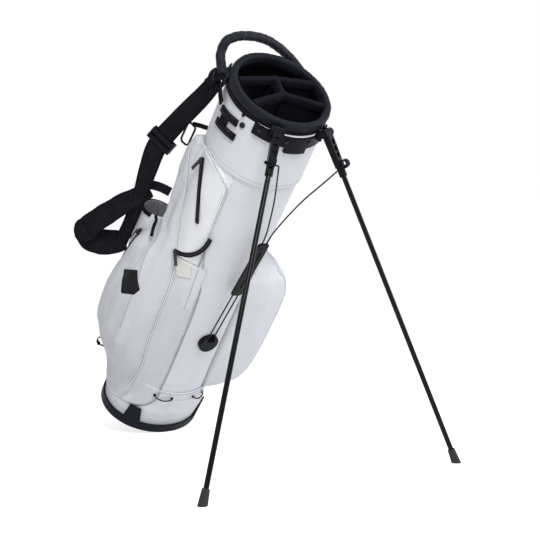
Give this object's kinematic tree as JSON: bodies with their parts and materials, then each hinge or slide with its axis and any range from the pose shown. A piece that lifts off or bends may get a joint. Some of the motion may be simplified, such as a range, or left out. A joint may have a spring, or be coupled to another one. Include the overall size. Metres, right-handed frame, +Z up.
{
  "type": "golf stand bag",
  "caption": "Soft tube bag that leans on two folding legs, with a divided padded mouth, zipped side pockets, a shoulder strap and a lift handle.",
  "frame": {"origin": "middle of the ground facet on the boot's front edge, on the floor the bag stands on", "axes": "+Z up, +X level in the direction the bag leans, towards its legs, +Y towards the ball pocket's side; the bag stands open on its legs at rest"},
  "size_m": [0.8234, 0.6488, 0.8937],
  "materials": {
    "white_shell": "coated woven fabric, smooth, faint sheen",
    "white_pocket": "coated woven pocket fabric, soft folds",
    "black_webbing": "ribbed black webbing",
    "strap_padding": "black padded mesh fabric",
    "rim_padding": "charcoal knitted fabric over foam",
    "divider_fabric": "dark fleece covered bars",
    "liner_fabric": "thin dark liner fabric",
    "handle_leather": "soft wrinkled black synthetic leather",
    "boot_moulding": "satin charcoal moulding",
    "hard_black": "fine grained black moulding",
    "stay_fibre": "pulled glass fibre rod",
    "leg_tube": "black anodised tube, satin",
    "foot_rubber": "moulded black rubber",
    "spring_wire": "black coated spring wire",
    "dark_fastener": "blackened steel",
    "zip_tape": "black coil zip tape",
    "zip_metal": "black painted zinc",
    "patch_leather": "plain stitched black patch",
    "grey_mesh": "stretch mesh with bound edge",
    "elastic_cord": "braided elastic cord"
  },
  "bodies": {
    "bag": {"base_boot": "boot_moulding", "base_skirt": "white_shell", "main_tube": "white_shell", "cuff_cover": "white_shell", "collar_ring": "hard_black", "collar_pad": "rim_padding", "top_divider": "divider_fabric", "divider_panels": "liner_fabric", "stay_rods": "stay_fibre", "grab_handle": "handle_leather", "leg_bracket": "hard_black", "pivot_pins": "dark_fastener", "guide_disc": "hard_black", "apparel_pocket": "white_pocket", "ball_pocket": "white_pocket", "valuables_pocket": "white_pocket", "accessory_pocket": "white_pocket", "bottle_pocket": "grey_mesh", "bottle_trim": "black_webbing", "blank_patch": "patch_leather", "side_loop": "black_webbing", "valuables_zip": "zip_tape", "accessory_zip": "zip_tape", "apparel_zip": "zip_tape", "strap_upper": "strap_padding", "strap_loop": "strap_padding", "strap_adjuster": "hard_black", "strap_band": "black_webbing", "strap_ring": "dark_fastener", "anchor_plates": "hard_black", "anchor_webbing": "black_webbing", "bracket_screws": "dark_fastener", "cuff_snap": "dark_fastener", "rim_knob": "dark_fastener", "clip_tab": "black_webbing", "clip_body": "dark_fastener", "eyelets": "dark_fastener", "drawcord_near": "elastic_cord", "drawcord_far": "elastic_cord"},
    "near_leg": {"near_leg_yoke": "hard_black", "near_leg_tube": "leg_tube", "near_leg_foot": "foot_rubber"},
    "far_leg": {"far_leg_yoke": "hard_black", "far_leg_tube": "leg_tube", "far_leg_foot": "foot_rubber"},
    "lower_rod": {"lower_rod": "spring_wire"},
    "plate": {"spreader_plate": "hard_black", "plate_rivets": "dark_fastener"},
    "near_wire": {"near_wire": "spring_wire"},
    "far_wire": {"far_wire": "spring_wire"},
    "clip_gate": {"clip_gate": "dark_fastener"},
    "valuables_slider": {"valuables_slider": "zip_metal"},
    "valuables_pull": {"valuables_pull": "zip_metal"},
    "accessory_slider": {"accessory_slider": "zip_metal"},
    "accessory_pull": {"accessory_pull": "zip_metal"},
    "apparel_slider": {"apparel_slider": "zip_metal"},
    "apparel_pull": {"apparel_pull": "zip_metal"}
  },
  "joints": [
    {"name": "near_leg_swing", "type": "hinge", "parent": "bag", "child": "near_leg", "pos_m": [0.52951, -0.0615, 0.68325], "axis": [0.3531, 0.896, -0.2693], "range_deg": [0, 49.5]},
    {"name": "far_leg_swing", "type": "hinge", "parent": "bag", "child": "far_leg", "pos_m": [0.52951, 0.0615, 0.68325], "axis": [-0.3531, 0.896, 0.2693], "range_deg": [0, 49.52]},
    {"name": "rod_tilt", "type": "hinge", "parent": "bag", "child": "lower_rod", "pos_m": [0.18803, 0, 0.23514], "axis": [0, 1, 0], "range_deg": [-5.42, 0]},
    {"name": "plate_slide", "type": "slide", "parent": "lower_rod", "child": "plate", "axis": [-0.6895, 0, -0.7243], "range_m": [0, 0.0449]},
    {"name": "near_wire_turn", "type": "hinge", "parent": "plate", "child": "near_wire", "pos_m": [0.39212, -0.005, 0.44952], "axis": [0.3263, -0.1409, 0.9347], "range_deg": [0, 12.26]},
    {"name": "far_wire_turn", "type": "hinge", "parent": "plate", "child": "far_wire", "pos_m": [0.39212, 0.005, 0.44952], "axis": [-0.3263, -0.1409, -0.9347], "range_deg": [0, 12.26]},
    {"name": "clip_gate_swing", "type": "hinge", "parent": "bag", "child": "clip_gate", "pos_m": [0.25879, -0.11195, 0.68584], "axis": [-0.2883, 0.9349, 0.2069], "range_deg": [0, 22], "stiffness_Nm_per_rad": 0.05},
    {"name": "valuables_zip_run", "type": "hinge", "parent": "bag", "child": "valuables_slider", "pos_m": [-0.06401, 0.37633, 0.70881], "axis": [0.7492, 0.6426, -0.1602], "range_deg": [0, 10.98]},
    {"name": "valuables_pull_flap", "type": "hinge", "parent": "valuables_slider", "child": "valuables_pull", "pos_m": [0.34429, -0.12571, 0.62804], "axis": [-0.522, -0.0486, 0.8516], "range_deg": [0, 70]},
    {"name": "accessory_zip_run", "type": "hinge", "parent": "bag", "child": "accessory_slider", "pos_m": [0.26164, -0.10661, 0.50541], "axis": [0.3145, -0.9475, -0.0568], "range_deg": [0, 73.06]},
    {"name": "accessory_pull_flap", "type": "hinge", "parent": "accessory_slider", "child": "accessory_pull", "pos_m": [0.23451, -0.11837, 0.43543], "axis": [-0.9586, -0.2848, 0.0002], "range_deg": [0, 70]},
    {"name": "apparel_zip_run", "type": "hinge", "parent": "bag", "child": "apparel_slider", "pos_m": [0.21346, 0.19122, 0.26591], "axis": [0.7493, -0.4463, -0.4893], "range_deg": [0, 9.28]},
    {"name": "apparel_pull_flap", "type": "hinge", "parent": "apparel_slider", "child": "apparel_pull", "pos_m": [0.14456, -0.15945, 0.48275], "axis": [-0.6743, 0.6108, 0.4151], "range_deg": [0, 15]}
  ],
  "couplings": [
    {"joint": "far_leg_swing", "follows": "near_leg_swing", "ratio": 1},
    {"joint": "rod_tilt", "follows": "near_leg_swing", "ratio": -0.10921},
    {"joint": "plate_slide", "follows": "near_leg_swing", "m_per_rad": 0.051897},
    {"joint": "near_wire_turn", "follows": "near_leg_swing", "ratio": 0.24737},
    {"joint": "far_wire_turn", "follows": "near_leg_swing", "ratio": 0.24737}
  ]
}
